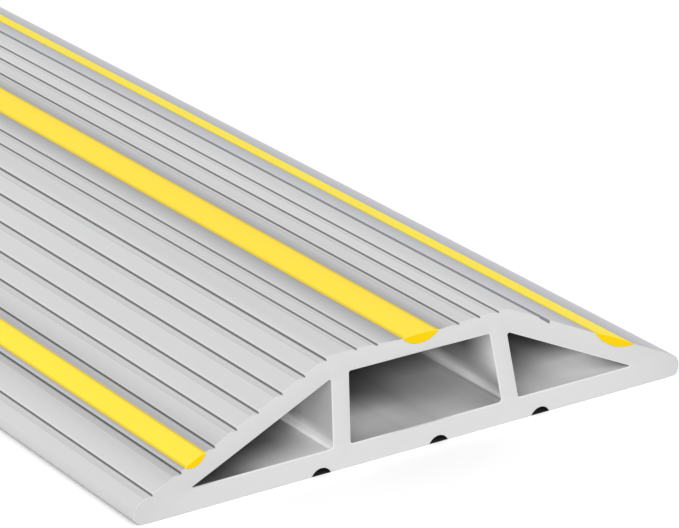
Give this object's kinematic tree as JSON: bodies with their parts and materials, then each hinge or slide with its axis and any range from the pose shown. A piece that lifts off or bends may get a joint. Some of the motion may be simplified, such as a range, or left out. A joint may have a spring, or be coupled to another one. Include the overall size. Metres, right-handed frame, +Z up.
{
  "type": "floor cord cover",
  "caption": "Low ramped floor cord cover, a soft grey extrusion with cord channels along its length, fine tread grooves and yellow warning stripes.",
  "frame": {"origin": "the middle of the cover's footprint, on the floor", "axes": "+Y along the cover's length, +Z up from the floor, +X across it"},
  "size_m": [0.076, 3.048, 0.0143],
  "materials": {
    "grey_vinyl": "satin soft vinyl, light grey",
    "yellow_vinyl": "satin soft vinyl, warning yellow"
  },
  "bodies": {
    "root": {"cover_body": "grey_vinyl", "stripe_left": "yellow_vinyl", "stripe_middle": "yellow_vinyl", "stripe_right": "yellow_vinyl"}
  },
  "joints": []
}
